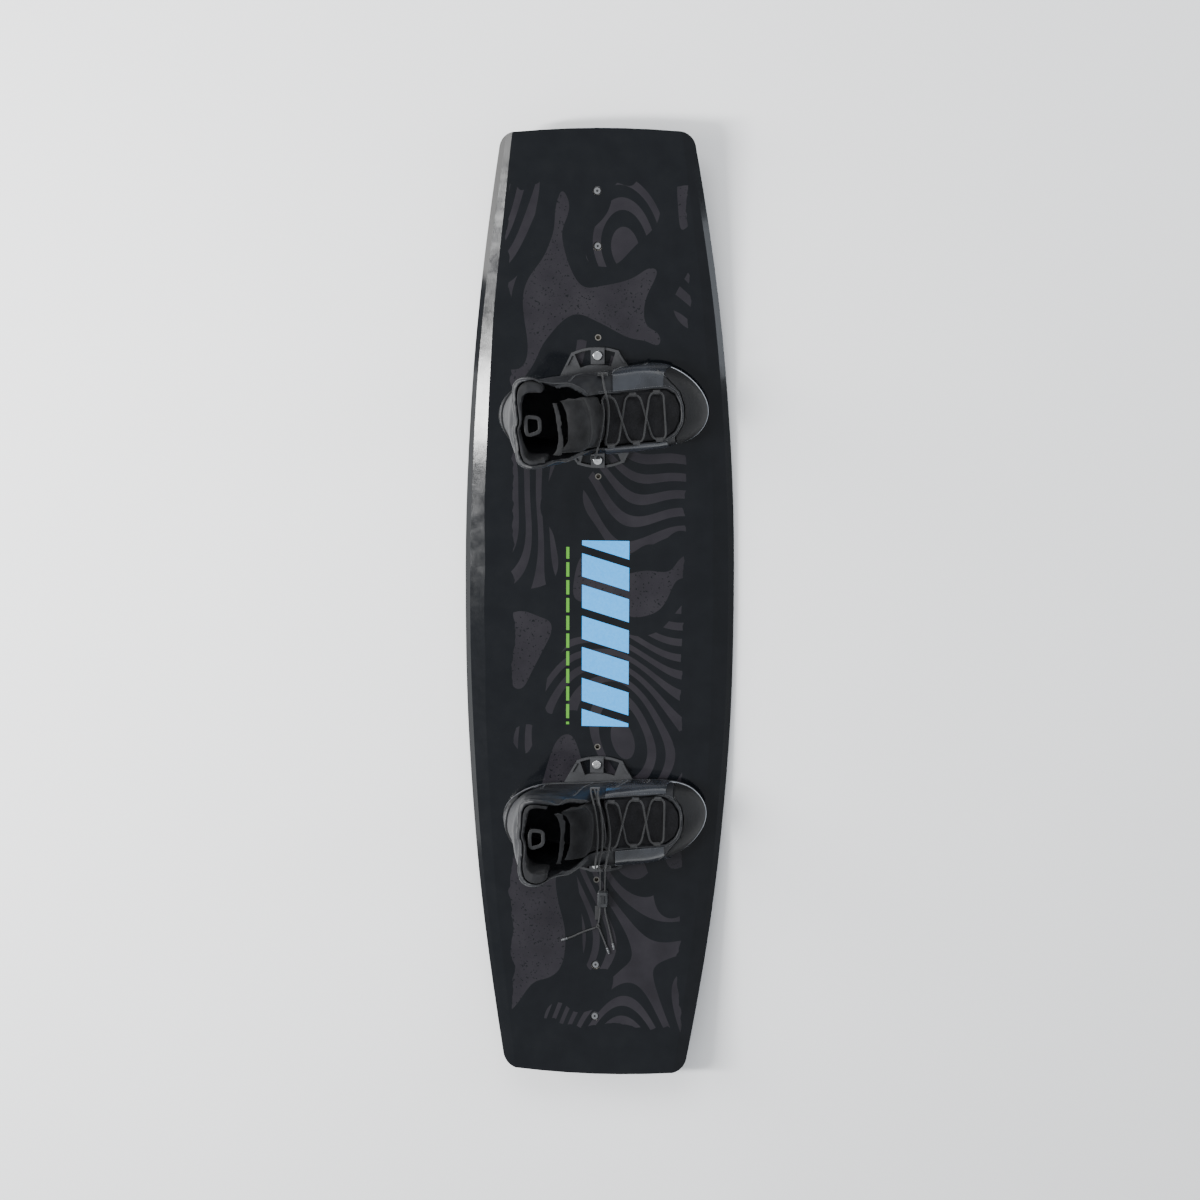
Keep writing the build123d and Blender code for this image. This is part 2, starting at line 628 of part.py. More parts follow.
with BuildPart() as chassis:
    with BuildSketch(Plane.XY.offset(CHASSIS_Z[0])):
        with BuildLine():
            Spline(form_points(14.2, 2.0), periodic=True)
        make_face()
        with BuildLine():
            Polyline((-60, 36), (-34, 82), (34, 82), (60, 36), (60, -36), (34, -82), (-34, -82), (-60, -36), close=True)
        make_face()
        with BuildLine():
            ThreePointArc((-34, 81.4), (0, EAR_R), (34, 81.4))
            Line((34, 81.4), (-34, 81.4))
        make_face()
        with BuildLine():
            ThreePointArc((-34, -81.4), (0, -EAR_R), (34, -81.4))
            Line((34, -81.4), (-34, -81.4))
        make_face()
    extrude(amount=CHASSIS_Z[1] - CHASSIS_Z[0] - 0.2)
    # Upstanding edges of the two ears.
    for s in (1, -1):
        for x in (1, -1):
            with BuildSketch(Plane.XY.offset(CHASSIS_Z[1] - 0.4)):
                with BuildLine():
                    Polyline((x * 36.5, s * 77), (x * 33.2, s * 77), (x * 40.6, s * 64), (x * 43.9, s * 64), close=True)
                make_face()
            extrude(amount=3.4)
    for s in (1, -1):
        add(ring_sector(WINDOW_R[0], WINDOW_R[1], WINDOW_HALF_ANGLE, -1, 12, s), mode=Mode.SUBTRACT)
    # Grip teeth on the outer edge of each window.
    for s in (1, -1):
        with Locations((0, 0, 2.6)):
            with PolarLocations(WINDOW_R[1], 15, start_angle=90 * s - 17.5, angular_range=35, endpoint=True):
                Box(1.5, 1.5, 2.6, rotation=(0, 0, 45))
    for x, y in ((-92, 22), (-92, -22), (62, 28), (62, -28)):
        with Locations((x, y, 0)):
            Cylinder(3.2, 40, mode=Mode.SUBTRACT)

# Webbing loops for the lace, three a side, and the upper eyelets.
LOOPS_OUT = [(24, 27.5), (58, 26.5), (91, 27.0)]
LOOPS_IN = [(26, -41.5), (60, -41.5), (92, -40.5)]
LOOP_HALF = 5.0


def loop_z(x, y):
    return max(roof(x - 4, y), roof(x + 4, y), roof(x, y)) + (6.4 if x < 30 else 4.9)


with BuildPart() as lace_loops:
    for x, y in LOOPS_OUT + LOOPS_IN:
        with Locations(Location((x, y, loop_z(x, y)), (0, 90, 0))):
            Cylinder(2.9, 2 * LOOP_HALF)
            Cylinder(1.9, 2 * LOOP_HALF + 2, mode=Mode.SUBTRACT)
print("loops", [round(loop_z(x, y), 1) for x, y in LOOPS_OUT + LOOPS_IN])


def loop_point(p, end):
    x, y = p
    return (x + end * (LOOP_HALF + 4.4), y, loop_z(x, y))


def crossing(a, b, lift):
    """Middle points of a strand from a to b over the tongue."""
    out = []
    for t in (0.3, 0.7):
        x, y = a[0] + (b[0] - a[0]) * t, a[1] + (b[1] - a[1]) * t
        out.append((x, y, max(roof(x, y), roof(x + 3, y)) + lift))
    return out


o1, o2, o3 = LOOPS_OUT
i1, i2, i3 = LOOPS_IN
EYE_OUT = (18.0, 57.8, 100.0)
EYE_IN = (2.0, -58.5, 108.0)


def over(x, y, lift):
    return (x, y, max(roof(x, y), roof(x + 3, y)) + lift)


legs = [
    [(18, 57.8, 104.4), (18.5, 55, 113), (21, 42, 122.5), (24, 27, 125.5), over(26, 10, 6.0), over(22, -22, 8.0), loop_point(i1, -1)],
    [loop_point(i1, 1)] + crossing(loop_point(i1, 1), loop_point(o2, -1), 4.6) + [loop_point(o2, -1)],
    [loop_point(o2, 1)] + crossing(loop_point(o2, 1), loop_point(i3, -1), 4.6) + [loop_point(i3, -1)],
    [loop_point(i3, 1)] + crossing(loop_point(i3, 1), loop_point(o3, 1), 4.6) + [loop_point(o3, 1)],
    [loop_point(o3, -1)] + crossing(loop_point(o3, -1), loop_point(i2, 1), 8.2) + [loop_point(i2, 1)],
    [loop_point(i2, -1)] + crossing(loop_point(i2, -1), loop_point(o1, 1), 8.2) + [loop_point(o1, 1)],
    [loop_point(o1, -1), over(20, 8, 9.0), (15, -20, 128), (8, -42, 126), (3, -57.5, 120), (2, -58.5, 112.4)],
]
LACE_ROUTE, lace_limits = [], {}
for k, leg in enumerate(legs):
    if k:
        lace_limits[len(LACE_ROUTE)] = 4.2
    LACE_ROUTE += leg
    if k < len(legs) - 1:
        lace_limits[len(LACE_ROUTE) - 1] = 4.2
print("LACE_ROUTE =", [tuple(round(c, 1) for c in p) for p in LACE_ROUTE])
with BuildPart() as lace:
    add(tube(LACE_ROUTE, LACE_R, lace_limits))

with BuildPart() as eyelets:
    with Locations(EYE_OUT, EYE_IN):
        Box(14, 4, 8)
    fillet(eyelets.edges().filter_by(Axis.Y), 1.5)

with BuildPart() as heel_loop:
    with BuildSketch(Plane(origin=(-74.5, 0, 185), x_dir=(0, 1, 0), z_dir=(0.46, 0, 0.89))):
        RectangleRounded(30, 25, 6)
        RectangleRounded(18, 14, 4, mode=Mode.SUBTRACT)
    extrude(amount=1.8)

pieces = dict(shell=shell, toe_cap=toe_cap, mesh_tongue=mesh_tongue, tongue_foot=tongue_foot, tongue_pad=tongue_pad,
              collar_rim=collar_rim, side_panels=side_panels, heel_counter=heel_counter, midsole=midsole,
              boot_screws=boot_screws, footbed=footbed, chassis=chassis, lace_loops=lace_loops, lace=lace, eyelets=eyelets, heel_loop=heel_loop)
for name, p in pieces.items():
    bb = p.part.bounding_box()
    print(name, len(p.part.solids()), p.part.is_valid, round(p.part.volume), [round(v, 1) for v in (*bb.min, *bb.max)])


# ---------------------------------------------------------------- free lace ends of the right boot, with their lock


def ground(y):
    """How far the deck has risen above the boot zone's plane."""
    return 0.000238 * max(0.0, y - 110.0) ** 2


TAIL_A = [(-3.5, -58.5, 112.4), (-3, -57, 122), (1, -48, 134), (7, -26, 142), (9.5, 4, 142), (8, 28, 138), (5, 46, 130),
          (4, 58, 114), (4, 64.5, 90), (4.2, 68, 62), (4, 73, 38), (3.4, 83, 20), (2.9, 95, 9), (2.7, 108, 5.5),
          (2.72, 147, 5.5), (1.5, 158, 4.4), (0, 167.4, 4.4)]
TAIL_B = [(7.5, -58.5, 112.4), (7, -57, 121), (9, -48, 130), (14, -26, 136.5), (16, 4, 136), (14.5, 28, 131), (9.5, 46, 125),
          (8.5, 59, 110), (10, 65.5, 86), (11.5, 69, 58), (11.6, 74, 35), (11.2, 84, 18), (10.2, 96, 8.6), (9.7, 108, 5.5),
          (9.72, 147, 5.5), (12.5, 160, 4.2), (17, 177, 3.4), (22, 199, 4.2)]
END_A = [(1.5, 176, 4.3), (4, 183, 3.6), (8.5, 193, 4.0), (13.5, 206, 4.8)]
END_C = [(-4.5, 174.5, 4.3), (-13, 177.5, 3.6), (-27, 183, 3.8), (-39, 189.5, 4.2), (-48, 192.6, 4.2)]
parts_a = [tube(p, LACE_R) for p in (TAIL_A, END_A, END_C)]
with BuildPart() as tail_a:
    add(parts_a[0])
with BuildPart() as tail_b:
    add(tube(TAIL_B, LACE_R))
with BuildPart() as tail_tips:
    add(parts_a[1])
    add(parts_a[2])

with BuildPart() as knot:
    with BuildSketch(Plane.XY.offset(1.2)):
        with BuildLine():
            Polyline((-4.5, 168), (3.5, 168), (3.5, 174), (1.5, 176.6), (-3.2, 176.6), (-4.5, 174.6), close=True)
        make_face()
    extrude(amount=6.6)
    fillet(knot.edges().filter_by(Axis.Z), 1.0)
    for p in (END_A, END_C):
        with BuildSketch(Plane(origin=p[0], z_dir=Vector(*p[1]) - Vector(*p[0]))):
            Circle(LACE_R + 0.05)
        extrude(amount=9, mode=Mode.SUBTRACT)
with BuildPart() as tips:
    for route in (TAIL_B, END_A, END_C):
        p, q = Vector(*route[-1]), Vector(*route[-2])
        d = (p - q).normalized()
        with BuildSketch(Plane(origin=p, z_dir=d)):
            Circle(1.9)
        extrude(amount=9)

with BuildPart() as lock:
    with Locations((6.2, 129, 0.9)):
        Box(15, 24, 13, align=(Align.CENTER, Align.CENTER, Align.MIN))
    fillet(lock.edges().filter_by(Axis.Z), 3.5)
    fillet(lock.faces().sort_by(Axis.Z)[-1].edges(), 1.5)
    for x in (2.7, 9.7):
        with Locations(Location((x, 129, 5.5), (90, 0, 0))):
            Cylinder(1.9, 40, mode=Mode.SUBTRACT)
    with Locations((6.2, 129, 8.4)):
        Box(7.6, 12.6, 10, align=(Align.CENTER, Align.CENTER, Align.MIN), mode=Mode.SUBTRACT)
with BuildPart() as lock_button:
    with Locations((6.2, 129, 11.2)):
        Box(7.2, 12.2, 5.2, align=(Align.CENTER, Align.CENTER, Align.MIN))
    fillet(lock_button.faces().sort_by(Axis.Z)[-1].edges(), 1.0)
with BuildPart() as lock_strap:
    with BuildSketch(Plane.XY.offset(1.0)):
        with BuildLine():
            Polyline((-5.5, 141.4), (1.6, 141.4), (1.6, 163), (-5.5, 163), close=True)
        make_face()
    extrude(amount=1.4)

tail_pieces = dict(tail_a=tail_a, tail_b=tail_b, tail_tips=tail_tips, lace_knot=knot, lace_tips=tips,
                   lace_lock=lock, lock_button=lock_button, lock_strap=lock_strap)
for name, p in tail_pieces.items():
    bb = p.part.bounding_box()
    print(name, len(p.part.solids()), p.part.is_valid, round(p.part.volume), [round(v, 1) for v in (*bb.min, *bb.max)])

for foot, side, yaw, shift in (("left", 1, YAW_LEFT, 0.0), ("right", -1, YAW_RIGHT, SHIFT_RIGHT)):
    where = boot_location(side, yaw, shift)
    for name, p in list(pieces.items()) + (list(tail_pieces.items()) if side < 0 else []):
        with BuildPart() as placed:
            with Locations(where):
                if side > 0:
                    add(p.part)
                else:
                    add(mirror(p.part, about=Plane.XZ, mode=Mode.PRIVATE))
        placed.part.label = f"{foot}_{name}"
        export_step(placed.part, f"parts/{placed.part.label}.step")

for p in (deck_shell, base_shell, core, inserts, fin_washers, fin_screws, toothed_washers, binding_screws):
    print(p.part.label, len(p.part.solids()), round(p.part.volume), p.part.is_valid, p.part.bounding_box())
    export_step(p.part, f"parts/{p.part.label}.step")
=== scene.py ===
import math
import random

import bmesh
import bpy
from mathutils import Matrix, Vector, noise
from mathutils.bvhtree import BVHTree


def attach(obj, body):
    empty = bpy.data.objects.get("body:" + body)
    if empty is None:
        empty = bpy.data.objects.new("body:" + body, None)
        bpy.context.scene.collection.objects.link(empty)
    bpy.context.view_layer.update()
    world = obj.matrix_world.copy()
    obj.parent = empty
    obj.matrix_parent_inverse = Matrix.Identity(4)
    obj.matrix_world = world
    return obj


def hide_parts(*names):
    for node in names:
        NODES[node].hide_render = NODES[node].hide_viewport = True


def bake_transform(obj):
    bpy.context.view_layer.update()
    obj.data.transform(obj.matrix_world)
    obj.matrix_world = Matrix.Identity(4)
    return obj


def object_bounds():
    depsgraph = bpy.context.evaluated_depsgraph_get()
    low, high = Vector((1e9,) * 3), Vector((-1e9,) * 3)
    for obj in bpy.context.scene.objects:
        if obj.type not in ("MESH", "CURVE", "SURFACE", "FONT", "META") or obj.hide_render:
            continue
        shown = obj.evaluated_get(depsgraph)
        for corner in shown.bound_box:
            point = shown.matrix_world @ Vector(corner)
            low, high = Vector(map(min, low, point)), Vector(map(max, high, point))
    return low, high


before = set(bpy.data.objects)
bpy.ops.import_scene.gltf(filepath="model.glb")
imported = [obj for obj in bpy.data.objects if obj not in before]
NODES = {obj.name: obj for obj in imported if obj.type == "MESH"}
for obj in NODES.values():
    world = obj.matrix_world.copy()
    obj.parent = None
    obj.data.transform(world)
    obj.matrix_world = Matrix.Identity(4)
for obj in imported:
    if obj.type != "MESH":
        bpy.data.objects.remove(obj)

cad_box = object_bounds()
random.seed(11)
TILT = math.atan(0.056)
FEET = {"left": (1, 3.0, 0.0), "right": (-1, 0.0, 4.0)}


def place(foot, p, vec=False):
    """A point of a boot's own frame, in millimetres, as a point of the row frame in metres."""
    side, yaw, shift = FEET[foot]
    x, y, z = p
    y *= side
    a, t = math.radians(yaw), side * TILT
    x, y = x * math.cos(a) - y * math.sin(a), x * math.sin(a) + y * math.cos(a)
    if not vec:
        x += shift
    y, z = y * math.cos(t) - z * math.sin(t), y * math.sin(t) + z * math.cos(t)
    if not vec:
        y, z = y + side * 304.8, z + 31.009
    return Vector((x, y, z)) * 0.001


# ------------------------------------------------------------------ camera
rx, ry, rz = (math.radians(v) for v in (-8.97, 4.77, 0.19))
turn = Matrix.Rotation(rz, 4, "Z") @ Matrix.Rotation(ry, 4, "Y") @ Matrix.Rotation(rx, 4, "X")
cam = bpy.data.objects.new("camera", bpy.data.cameras.new("camera"))
cam.data.lens, cam.data.sensor_width = 60.55, 36.0
cam.data.clip_end = 50
cam.matrix_world = Matrix.Translation((0.2474, 0.4872, 2.9716)) @ turn
bpy.context.scene.collection.objects.link(cam)
bpy.context.scene.camera = cam


def link(name, data):
    o = bpy.data.objects.new(name, data)
    bpy.context.scene.collection.objects.link(o)
    return o


# ------------------------------------------------------------------ cords
def nurbs(name, foot, route, radius, caps=True):
    cu = bpy.data.curves.new(name, "CURVE")
    cu.dimensions = "3D"
    sp = cu.splines.new("NURBS")
    sp.points.add(len(route) - 1)
    for q, p in zip(sp.points, route):
        q.co = (*place(foot, p), 1)
    sp.order_u = 3
    sp.use_endpoint_u = True
    sp.resolution_u = 10
    o = link(name, cu)
    bpy.context.view_layer.update()
    me = bpy.data.meshes.new_from_object(o.evaluated_get(bpy.context.evaluated_depsgraph_get()))
    line = [v.co.copy() for v in me.vertices]
    length = sum((b - a).length for a, b in zip(line, line[1:]))
    cu.bevel_depth = radius
    cu.bevel_resolution = 3
    cu.use_fill_caps = caps
    return o, length


LACE_ROUTE = [(18,57.8,104.4),(18.5,55,113),(21,42,122.5),(24,27,125.5),(26,10,116.0),(22,-22,120.5),(16.6,-41.5,115.4),(35.4,-41.5,115.4),(39.4,-21.1,106.8),(44.6,6.1,103.8),(48.6,26.5,94.9),(67.4,26.5,94.9),(72.0,6.4,89.1),(78.0,-20.4,86.6),(82.6,-40.5,77.7),(101.4,-40.5,77.7),(101.1,-20.2,75.6),(100.7,6.8,74.6),(100.4,27.0,77.9),(81.6,27.0,77.9),(77.9,6.4,89.7),(73.1,-20.9,92.5),(69.4,-41.5,93.7),(50.6,-41.5,93.7),(45.4,-20.8,107.0),(38.6,6.8,111.2),(33.4,27.5,116.9),(14.6,27.5,116.9),(20,8,124.8),(15,-20,128),(8,-42,126),(3,-57.5,120),(2,-58.5,112.4)]
TAIL_A = [(-3.5,-58.5,112.4),(-3,-57,122),(1,-48,134),(7,-26,142),(9.5,4,142),(8,28,138),(5,46,130),(4,58,114),(4,64.5,90),(4.2,68,62),(4,73,38),(3.4,83,20),(2.9,95,9),(2.7,103,5.5),(2.72,147,5.5),(1.5,158,4.4),(0,167.4,4.4)]
TAIL_B = [(7.5,-58.5,112.4),(7,-57,121),(9,-48,130),(14,-26,136.5),(16,4,136),(14.5,28,131),(9.5,46,125),(8.5,59,110),(10,65.5,86),(11.5,69,58),(11.6,74,35),(11.2,84,18),(10.2,96,8.6),(9.7,103,5.5),(9.72,147,5.5),(12.5,160,4.2),(17,177,3.4),(22,199,4.2)]
END_A = [(1.5,176,4.3),(4,183,3.6),(8.5,193,4.0),(13.5,206,4.8)]
END_C = [(-4.5,174.5,4.3),(-13,177.5,3.6),(-27,183,3.8),(-39,189.5,4.2),(-48,192.6,4.2)]


# ------------------------------------------------------------------ materials
class Tree:
    def __init__(self, name):
        self.m = bpy.data.materials.new(name)
        self.m.use_nodes = True
        self.nt = self.m.node_tree
        self.b = self.nt.nodes["Principled BSDF"]
        self.co = self.add("ShaderNodeTexCoord").outputs["Object"]

    def add(self, kind, **props):
        n = self.nt.nodes.new(kind)
        for k, v in props.items():
            setattr(n, k, v)
        return n

    def put(self, sock, v):
        if isinstance(v, bpy.types.NodeSocket):
            self.nt.links.new(v, sock)
        else:
            sock.default_value = v

    def math(self, op, a, b=0.0, c=None):
        n = self.add("ShaderNodeMath", operation=op)
        self.put(n.inputs[0], a)
        self.put(n.inputs[1], b)
        if c is not None:
            self.put(n.inputs[2], c)
        return n.outputs[0]

    def mix(self, f, a, b):
        n = self.add("ShaderNodeMix", data_type="RGBA")
        self.put(n.inputs["Factor"], f)
        self.put(n.inputs["A"], a)
        self.put(n.inputs["B"], b)
        return n.outputs["Result"]

    def ramp(self, f, lo, hi, a=0.0, b=1.0):
        n = self.add("ShaderNodeMapRange")
        self.put(n.inputs["Value"], f)
        for k, v in zip(("From Min", "From Max", "To Min", "To Max"), (lo, hi, a, b)):
            self.put(n.inputs[k], v)
        return n.outputs["Result"]

    def noise(self, scale, detail=3.0, rough=0.55, stretch=None):
        n = self.add("ShaderNodeTexNoise")
        n.inputs["Scale"].default_value = scale
        n.inputs["Detail"].default_value = detail
        n.inputs["Roughness"].default_value = rough
        self.put(n.inputs["Vector"], self.stretched(stretch))
        return n.outputs["Fac"]

    def stretched(self, s):
        if not s:
            return self.co
        n = self.add("ShaderNodeMapping")
        n.inputs["Scale"].default_value = s
        self.put(n.inputs["Vector"], self.co)
        return n.outputs["Vector"]

    def wave(self, scale, direction, distortion=0.0, stretch=None):
        n = self.add("ShaderNodeTexWave", bands_direction=direction)
        n.inputs["Scale"].default_value = scale
        n.inputs["Distortion"].default_value = distortion
        self.put(n.inputs["Vector"], self.stretched(stretch))
        return n.outputs["Fac"]

    def cells(self, scale, feature="F1"):
        n = self.add("ShaderNodeTexVoronoi", feature=feature)
        n.inputs["Scale"].default_value = scale
        self.put(n.inputs["Vector"], self.co)
        return n.outputs["Distance"]

    def bump(self, height, strength, distance=0.0003):
        n = self.add("ShaderNodeBump")
        n.inputs["Strength"].default_value = strength
        n.inputs["Distance"].default_value = distance
        self.put(n.inputs["Height"], height)
        self.put(self.b.inputs["Normal"], n.outputs["Normal"])


def rgb(r, g, b):
    return (r, g, b, 1.0)


def finish_of(name, a, b, rough, fine, strength=0.4, patch=14.0, metal=0.0, coat=0.0, sheen=0.0, edge=0.0, spec=0.5, dark_above=None):
    """A material whose colour drifts from a to b in patches, with its own fine relief. Net, weave, braid and fuzz
    relief get painted shade in their dips; edge paints a highlight on convex edges; dark_above turns the colour
    near-black above a height, so the lighter colour below it is a painted reflection.
    """
    t = Tree(name)
    big = t.noise(patch, 5.0)
    col = t.mix(t.ramp(big, 0.35, 0.68), rgb(*a), rgb(*b))
    relief = {
        "grain": lambda: t.noise(2600, 3.0),
        "soft": lambda: t.noise(700, 5.0, 0.7),
        "fuzz": lambda: t.math("ADD", t.noise(900, 6.0, 0.8, (1, 0.35, 1)), t.noise(240, 4.0, 0.7)),
        "coated": lambda: t.math("ADD", t.math("MULTIPLY", t.cells(900), 0.6), t.noise(150, 4.0)),
        "weave": lambda: t.math("ADD", t.math("MULTIPLY", t.wave(170, "X"), t.wave(170, "Y")), t.math("MULTIPLY", t.wave(170, "Z"), 0.5)),
        "braid": lambda: t.math("MULTIPLY", t.wave(210, "DIAGONAL"), t.wave(210, "DIAGONAL", 0, (-1, 1, 1))),
        "net": lambda: t.ramp(t.cells(520), 0.25, 0.62, 0.0, 1.0),
        "brushed": lambda: t.noise(800, 2.0, 0.5, (1, 0.02, 1)),
        "smooth": lambda: t.noise(60, 2.0),
    }[fine]()
    # Painted shade: the low points of the relief (between threads, in the net's holes) are darkened towards half the
    # colour.
    if fine in ("net", "weave", "braid", "fuzz"):
        col = t.mix(t.ramp(relief, 0.1, 0.9, 0.0, 0.75), t.mix(0.5, col, rgb(0.0, 0.0, 0.0)), col)
    # Painted highlight: the colour turns lighter on convex edges (by pointiness), as strongly as edge gives.
    if edge:
        g = t.add("ShaderNodeNewGeometry")
        col = t.mix(t.ramp(g.outputs["Pointiness"], 0.515, 0.56, 0.0, edge), col, rgb(*(min(1, c * 3 + 0.08) for c in b)))
    # Above the given height the colour turns near-black, the part's own colour; the lighter colour kept below is a
    # painted reflection.
    if dark_above:
        z = t.add("ShaderNodeSeparateXYZ")
        t.put(z.inputs[0], t.co)
        col = t.mix(t.ramp(z.outputs[2], *dark_above), col, rgb(0.012, 0.0125, 0.014))
    t.put(t.b.inputs["Base Color"], col)
    t.put(t.b.inputs["Roughness"], t.ramp(big, 0.3, 0.7, max(0.04, rough - 0.07), min(1, rough + 0.07)))
    t.b.inputs["Metallic"].default_value = metal
    t.b.inputs["Coat Weight"].default_value = coat
    t.b.inputs["Coat Roughness"].default_value = 0.08
    t.b.inputs["Sheen Weight"].default_value = sheen
    t.b.inputs["Sheen Roughness"].default_value = 0.45
    t.b.inputs["Specular IOR Level"].default_value = spec
    t.bump(relief, strength)
    return t.m


def deck_finish():
    t = Tree("deck_gloss")
    sep = t.add("ShaderNodeSeparateXYZ")
    t.put(sep.inputs[0], t.co)
    x, y, z = sep.outputs
    ax, ay = t.math("ABSOLUTE", x), t.math("ABSOLUTE", y)
    field = t.math("MULTIPLY", t.math("LESS_THAN", t.math("ADD", ax, t.math("MULTIPLY", t.noise(18, 3.0), 0.03)), 0.142), t.math("LESS_THAN", t.math("ADD", ay, t.math("MULTIPLY", t.noise(14, 3.0), 0.06)), 0.655))
    # Bands that follow the levels of a slow noise, like lines on a relief map, shown in some patches only.
    level = t.noise(3.1, 0.6, 0.4, (1.25, 0.85, 1))
    bands = t.math("GREATER_THAN", t.math("FRACT", t.math("MULTIPLY", level, 26.0)), 0.52)
    patches = t.noise(5.2, 1.0, 0.5, (1.2, 0.9, 1))
    arcs = t.math("MULTIPLY", bands, t.math("GREATER_THAN", patches, 0.50))
    solid = t.math("MULTIPLY", t.math("LESS_THAN", patches, 0.405), t.math("GREATER_THAN", t.noise(260, 2.0), 0.36))
    ink = t.math("MULTIPLY", t.math("MAXIMUM", arcs, solid), field)
    col = t.mix(t.ramp(t.noise(30, 4.0), 0.35, 0.7), rgb(0.0030, 0.0038, 0.0052), rgb(0.0048, 0.0056, 0.0072))
    col = t.mix(ink, col, t.mix(t.ramp(t.noise(22, 4.0), 0.3, 0.7), rgb(0.0125, 0.0114, 0.0146), rgb(0.0195, 0.0180, 0.0220)))

    def inside(v, lo, hi):
        return t.math("MULTIPLY", t.math("GREATER_THAN", v, lo), t.math("LESS_THAN", v, hi))

    slant = t.math("FRACT", t.math("DIVIDE", t.math("ADD", y, t.math("MULTIPLY", x, 0.30)), 0.047))
    bars = t.math("MULTIPLY", inside(x, -0.024, 0.046), inside(y, -0.172, 0.108))
    bars = t.math("MULTIPLY", bars, t.math("LESS_THAN", slant, 0.74))
    shade = t.mix(t.ramp(t.noise(300, 3.0), 0.3, 0.7), rgb(0.035, 0.33, 0.80), rgb(0.055, 0.38, 0.86))
    col = t.mix(bars, col, shade)
    dash = t.math("MULTIPLY", inside(x, -0.0475, -0.0430), inside(y, -0.170, 0.098))
    dash = t.math("MULTIPLY", dash, t.math("LESS_THAN", t.math("FRACT", t.math("DIVIDE", y, 0.0268)), 0.8))
    col = t.mix(dash, col, rgb(0.085, 0.30, 0.03))
    t.put(t.b.inputs["Base Color"], col)
    t.put(t.b.inputs["Roughness"], t.ramp(t.noise(40, 5.0, 0.7), 0.3, 0.75, 0.08, 0.15))
    t.b.inputs["Coat Weight"].default_value = 0.12
    t.b.inputs["Coat Roughness"].default_value = 0.06
    t.b.inputs["Specular IOR Level"].default_value = 0.22
    t.bump(t.math("ADD", t.noise(35, 2.0), t.math("MULTIPLY", t.noise(900, 2.0), 0.04)), 0.05, 0.002)
    return t.m


F = finish_of
# In these finishes, edge= sets the strength of a painted highlight on convex edges.
MAT = {
    "deck": deck_finish(),
    "base": F("base_gloss", (0.010, 0.012, 0.014), (0.020, 0.022, 0.026), 0.3, "brushed", 0.15, coat=0.2),
    "core": F("core_foam", (0.55, 0.50, 0.40), (0.66, 0.61, 0.50), 0.85, "soft", 0.5),
    "insert": F("insert_metal", (0.13, 0.125, 0.115), (0.22, 0.21, 0.19), 0.36, "brushed", 0.2, metal=1.0),
    "fin": F("fin_plastic", (0.009, 0.010, 0.012), (0.017, 0.019, 0.022), 0.33, "grain", 0.2, coat=0.15, edge=0.3),
    "steel": F("stainless", (0.62, 0.63, 0.64), (0.78, 0.78, 0.77), 0.22, "brushed", 0.25, patch=90, metal=1.0),
    "nylon": F("grained_nylon", (0.0085, 0.009, 0.0105), (0.016, 0.017, 0.0195), 0.5, "grain", 0.5, patch=30, edge=0.15, spec=0.28),
    "upper": F("coated_textile", (0.0075, 0.008, 0.0095), (0.017, 0.018, 0.021), 0.48, "coated", 0.42, patch=30, spec=0.3),
    "gloss": F("gloss_overlay", (0.012, 0.014, 0.018), (0.030, 0.034, 0.043), 0.26, "coated", 0.16, patch=18, coat=0.45),
    "toe": F("toe_textile", (0.008, 0.0083, 0.0092), (0.017, 0.0176, 0.0195), 0.55, "weave", 0.45, patch=26, sheen=0.02, spec=0.22),
    "mesh": F("net_textile", (0.006, 0.006, 0.0068), (0.015, 0.015, 0.0172), 0.66, "net", 0.9, patch=40, sheen=0.01, spec=0.15),
    "pad": F("brushed_pad", (0.012, 0.0122, 0.013), (0.028, 0.0285, 0.030), 0.92, "fuzz", 0.9, patch=45, sheen=0.06, spec=0.15),
    # A darker copy of the tongue pad, for the right boot: painted shade.
    "pad_painted_shade": F("brushed_pad_low", (0.0065, 0.0068, 0.0075), (0.015, 0.0155, 0.017), 0.92, "fuzz", 0.9, patch=45, sheen=0.04, spec=0.12),
    "rim": F("collar_textile", (0.007, 0.0073, 0.0082), (0.016, 0.0165, 0.0185), 0.75, "soft", 0.6, patch=50, sheen=0.03, spec=0.2),
    # The heel cup's light grey is a painted reflection on glossy black plastic; above 72-80 mm it takes its own
    # near-black.
    "heel": F("heel_cup", (0.15, 0.155, 0.165), (0.28, 0.285, 0.30), 0.30, "coated", 0.15, patch=20, coat=0.2, dark_above=(0.072, 0.080)),
    "foam": F("midsole_foam", (0.020, 0.021, 0.024), (0.034, 0.036, 0.040), 0.7, "soft", 0.45, patch=60),
    "bed": F("footbed_textile", (0.030, 0.032, 0.037), (0.052, 0.055, 0.062), 0.86, "weave", 0.6, patch=40, sheen=0.2),
    "lace": F("braided_lace", (0.016, 0.0165, 0.018), (0.040, 0.041, 0.044), 0.66, "braid", 0.7, patch=120, sheen=0.15),
    "webbing": F("webbing", (0.010, 0.0105, 0.012), (0.026, 0.027, 0.030), 0.7, "weave", 0.8, patch=90, sheen=0.15),
    "lock": F("lock_plastic", (0.016, 0.017, 0.019), (0.030, 0.032, 0.035), 0.36, "grain", 0.3, patch=80, edge=0.5),
    "piping": F("piping_bright", (0.30, 0.32, 0.36), (0.48, 0.50, 0.54), 0.42, "coated", 0.2, patch=60, coat=0.2),
    "dark_piping": F("piping_dark", (0.018, 0.0187, 0.021), (0.042, 0.0435, 0.048), 0.42, "weave", 0.3, patch=60),
    "thread": F("thread", (0.13, 0.135, 0.145), (0.21, 0.215, 0.225), 0.65, "braid", 0.5, patch=200),
}
